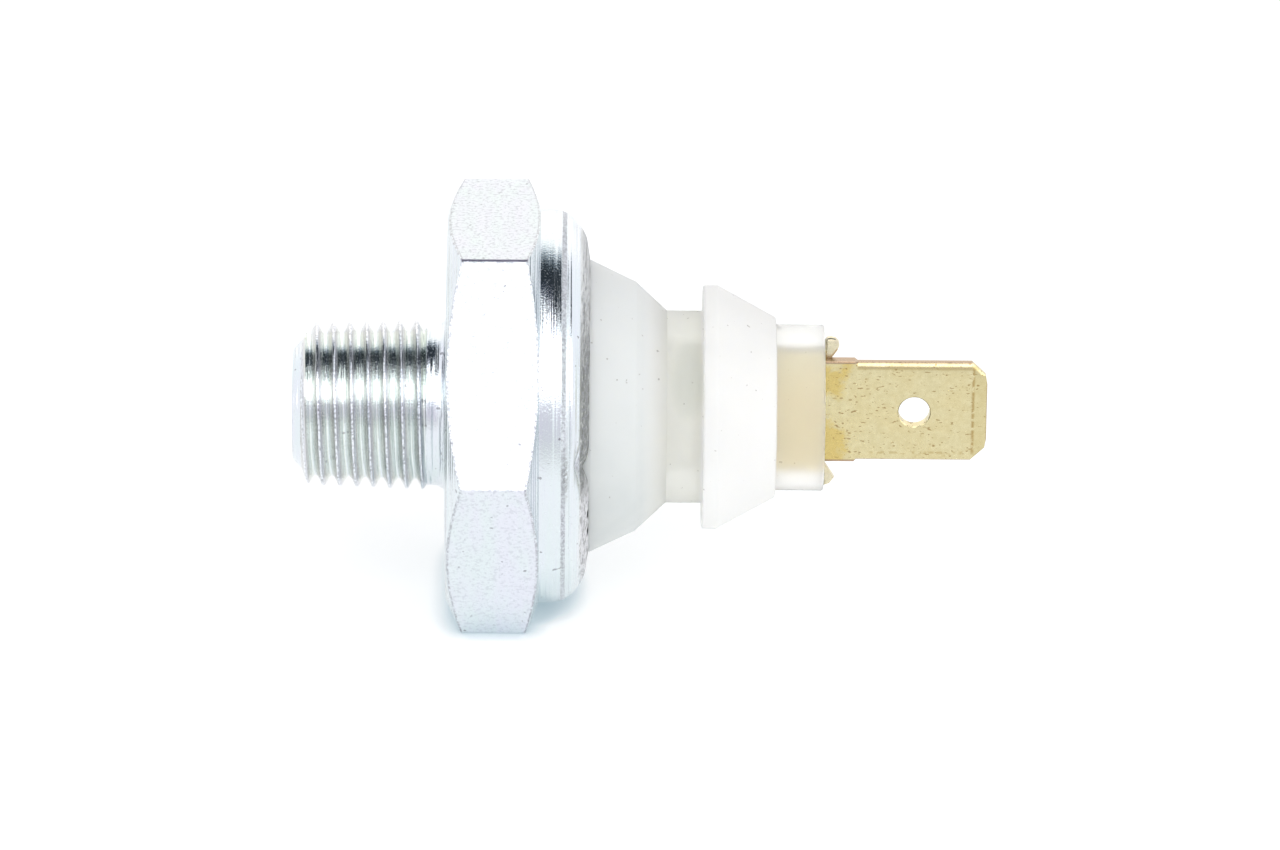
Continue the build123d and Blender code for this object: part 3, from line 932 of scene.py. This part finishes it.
def nylon_material():
    """Natural nylon: milky where it is thick, clearer at the neck and the tail, where the brass shows."""
    material, s = new_material("nylon")
    place, x, _, z = s.position()
    neck = s.range(x, neck_x - neck_fade, neck_x + 0.3, smooth=True)
    neck = s.times(neck, s.range(x, collar_x, collar_x - 0.2))
    tail = s.range(x, tail_x - 0.05, tail_x + 0.05)
    cone = s.range(x, neck_x, neck_x - neck_fade)

    # Painted shade: the cone and the collar ring are lighter at the top and darker towards the bottom.
    cone_tint_and_shade = s.blend(s.range(z, 6.0, -6.0, smooth=True), (0.86, 0.885, 0.885), (0.72, 0.755, 0.75))
    ring_tint_and_shade = s.blend(s.range(z, 2.0, -7.0), (0.99, 0.985, 0.97), (0.95, 0.95, 0.925))
    tint = s.blend(cone, ring_tint_and_shade, cone_tint_and_shade)
    tint = s.blend(tail, tint, (0.975, 0.97, 0.955))
    tint = s.coat(tint, neck, 0.8, (0.92, 0.92, 0.84))
    cloud = s.noise(place, 0.5, 2.0, 0.5)
    tint = s.blend(s.range(cloud, 0.35, 0.65, 0.0, 0.15), tint, (0.93, 0.94, 0.93))
    # Painted shade: a soft grey patch in the upper half of the neck, beside the end of the brass strip.
    inside_x = s.math("DIVIDE", s.away(x, strip_start_x - shade_reach_x), shade_reach_x)
    inside_z = s.math("DIVIDE", s.away(s.math("ABSOLUTE", z), shade_z), shade_reach_z)
    inside = s.plus(s.times(inside_x, inside_x), s.times(inside_z, inside_z))
    inside = s.times(s.range(inside, 1.0, 0.1, smooth=True), s.range(z, 0.0, 1.5))
    tint = s.coat(tint, inside, 0.5, (0.72, 0.74, 0.7))
    specks = s.range(s.noise(place, 3.3, 1.0, 0.4), 0.76, 0.79)
    tint = s.coat(tint, specks, 0.5, (0.3, 0.28, 0.25))

    clear = s.plus(s.plus(0.2, s.times(neck, 0.2)), s.times(tail, 0.65))
    rough = s.plus(s.plus(0.35, s.times(neck, 0.1)), s.times(tail, 0.23))
    normal = s.bump(s.noise(place, 4.0, 3.0, 0.6), 0.000006)
    s.surface(
        {
            "IOR": 1.15, "Subsurface Weight": 0.7, "Subsurface Scale": 0.002,
            "Subsurface Radius": (1.0, 0.97, 0.9),
        },
        {"Base Color": tint, "Roughness": rough, "Transmission Weight": clear, "Normal": normal},
    )
    return material


def plain_material(name, colour, roughness, metallic=0.0):
    """A material of one colour with a slight unevenness."""
    material, s = new_material(name)
    pattern = s.noise(s.position()[0], 5.0, 3.0, 0.6)
    darker = tuple(part * 0.8 for part in colour)
    s.surface(
        {"Metallic": metallic},
        {
            "Base Color": s.blend(s.range(pattern, 0.3, 0.7), colour, darker),
            "Roughness": s.range(pattern, 0.3, 0.7, roughness - 0.05, roughness + 0.05),
            "Normal": s.bump(pattern, 0.000004),
        },
    )
    return material


# Surroundings

def world_light():
    """A white room: softbox in front, lavender horizon under it, dark gap overhead, white backdrop."""
    world = bpy.data.worlds.new("room")
    bpy.context.scene.world = world
    world.use_nodes = True
    s = Shader(world.node_tree)
    direction = s.add("ShaderNodeTexCoord").outputs["Generated"]
    dx, dy, dz = s.add("ShaderNodeSeparateXYZ", direction).outputs
    sideways = s.math("ABSOLUTE", dx)
    angle = s.math("DEGREES", s.math("ARCTAN2", dz, s.times(dy, -1.0)))
    shift = s.times(s.range(sideways, 0.08, 0.2, 0.0, 22.0), s.range(s.away(angle, 78.0), 26.0, 18.0))
    share = s.range(s.plus(angle, shift), 0.0, 180.0)
    brightness = 2.3
    horizon = (0.4, 0.385, 0.425)
    softbox = 1.2
    gap = (0.014, 0.018, 0.022)
    backdrop = (0.67, 0.655, 0.635)
    dusk = (0.06, 0.075, 0.14)
    dawn = (0.3, 0.36, 0.42)
    wall = (0.54, 0.54, 0.56)
    lit_wall = (1.1, 1.1, 1.1)
    diffuse_level = (0.765, 0.765, 0.765)
    seen_level = (1.0, 1.0, 1.0)
    # What a mirror sees, by degrees from the front horizon up and over to the back one
    degrees = [
        (0, horizon), (24, horizon), (33, softbox), (81, softbox), (88, dusk),
        (93, gap), (120, gap), (124, dawn), (131, backdrop), (180, backdrop),
    ]
    bands = s.ramp(share, [(degree / 180, level) for degree, level in degrees])
    beside = s.blend(s.range(s.away(angle, 52.0), 30.0, 18.0), wall, lit_wall)
    pattern = s.blend(s.range(sideways, 0.45, 0.7, smooth=True), bands, beside)
    pattern = s.add("ShaderNodeVectorMath", pattern, operation="SCALE")
    pattern.inputs["Scale"].default_value = brightness
    path = s.add("ShaderNodeLightPath").outputs
    clear = s.math("MAXIMUM", path["Is Camera Ray"], path["Is Transmission Ray"])
    colour = s.blend(path["Is Glossy Ray"], diffuse_level, pattern.outputs[0])
    colour = s.blend(clear, colour, seen_level)
    background = s.add("ShaderNodeBackground", colour, 1.0)
    out = s.add("ShaderNodeOutputWorld")
    world.node_tree.links.new(background.outputs[0], out.inputs[0])


def key_light():
    """One soft lamp in front and above, for the floor's shadow and the shading of the nylon."""
    data = bpy.data.lights.new("key", "AREA")
    data.energy = 1.15
    data.size = 0.5
    lamp = bpy.data.objects.new("key", data)
    lamp.location = (0.05, -0.38, 0.36)
    aim = Vector((0.01, 0, 0)) - Vector(lamp.location)
    lamp.rotation_euler = aim.to_track_quat("-Z", "Y").to_euler()
    lamp.visible_glossy = False
    bpy.context.scene.collection.objects.link(lamp)


def make_floor():
    """A white table that keeps the object's soft shadow and is darkest right under it."""
    size = 3.0
    shadow = (0.4, 0.52, 0.58)
    contact_reach = 0.0014
    seen_glow = 0.575
    mirrored_front = 0.28
    mirrored_back = 0.66
    mesh = bpy.data.meshes.new("floor")
    corners = [(-size, -size, 0), (size, -size, 0), (size, size, 0), (-size, size, 0)]
    mesh.from_pydata(corners, [], [(0, 1, 2, 3)])
    floor = bpy.data.objects.new("floor", mesh)
    floor.location = (0, 0, -flat_radius * MM)
    bpy.context.scene.collection.objects.link(floor)
    material, s = new_material("table")
    diffuse = s.add("ShaderNodeBsdfDiffuse", (0.58, 0.59, 0.6, 1)).outputs[0]
    mirrored = s.add("ShaderNodeLightPath").outputs["Is Glossy Ray"]
    y = s.position()[2]
    mirrored_glow = s.range(y, -130.0, -40.0, mirrored_front, mirrored_back)
    open_sky = s.add("ShaderNodeAmbientOcclusion", (1, 1, 1, 1), contact_reach).outputs["AO"]
    shade = s.times(s.range(open_sky, 0.95, 0.35), s.mix(mirrored, 1.0, 0.75))
    colour = s.blend(shade, (1, 1, 1), shadow)
    glow = s.add("ShaderNodeEmission", colour, s.mix(mirrored, seen_glow, mirrored_glow)).outputs[0]
    both = s.add("ShaderNodeAddShader", diffuse, glow).outputs[0]
    out = s.add("ShaderNodeOutputMaterial")
    s.tree.links.new(both, out.inputs[0])
    mesh.materials.append(material)


def place_camera():
    """The camera, from its measured height, distance, turn and roll about the point that it looks at."""
    elevation = math.radians(22.02)
    azimuth = math.radians(0.477)
    roll = math.radians(0.606)
    distance = 545.0
    focal_pixels = 9056.0
    picture_width = 1280.0
    target = Vector((11.609, -0.507, -1.014))
    level_x = math.sin(azimuth) * math.cos(elevation)
    level_y = math.cos(azimuth) * math.cos(elevation)
    forward = Vector((level_x, level_y, -math.sin(elevation)))
    right = Vector((math.cos(azimuth), -math.sin(azimuth), 0))
    up = right.cross(forward)
    turned_right = right * math.cos(roll) + up * math.sin(roll)
    turned_up = up * math.cos(roll) - right * math.sin(roll)
    data = bpy.data.cameras.new("camera")
    data.sensor_width = 36.0
    data.lens = focal_pixels * data.sensor_width / picture_width
    camera = bpy.data.objects.new("camera", data)
    axes = Matrix((turned_right, turned_up, -forward)).transposed().to_4x4()
    camera.matrix_world = Matrix.Translation((target - forward * distance) * MM) @ axes
    bpy.context.scene.collection.objects.link(camera)
    bpy.context.scene.camera = camera


def paint(piece, material):
    """Gives a piece one material in place of what it had."""
    piece.data.materials.clear()
    piece.data.materials.append(material)


body = make_body()
terminal = make_terminal()
spring = make_spring()
paint(body, zinc_material())
paint(terminal, brass_material())
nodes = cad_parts
paint(nodes["insulator"], nylon_material())
paint(nodes["seal_ring"], plain_material("seal_rubber", (0.03, 0.03, 0.03), 0.6))
paint(nodes["diaphragm"], plain_material("amber_foil", (0.6, 0.28, 0.04), 0.2))
paint(nodes["contact_ring"], plain_material("tinned_steel", (0.68, 0.67, 0.64), 0.3, 1.0))
paint(nodes["push_pin"], plain_material("black_plastic", (0.04, 0.04, 0.045), 0.45))
paint(nodes["moving_contact"], plain_material("pressed_brass", (0.78, 0.62, 0.3), 0.3, 1.0))
paint(spring, plain_material("spring_wire", (0.5, 0.5, 0.5), 0.3, 1.0))

make_floor()
key_light()
world_light()
place_camera()
bpy.context.scene.view_settings.view_transform = "Standard"
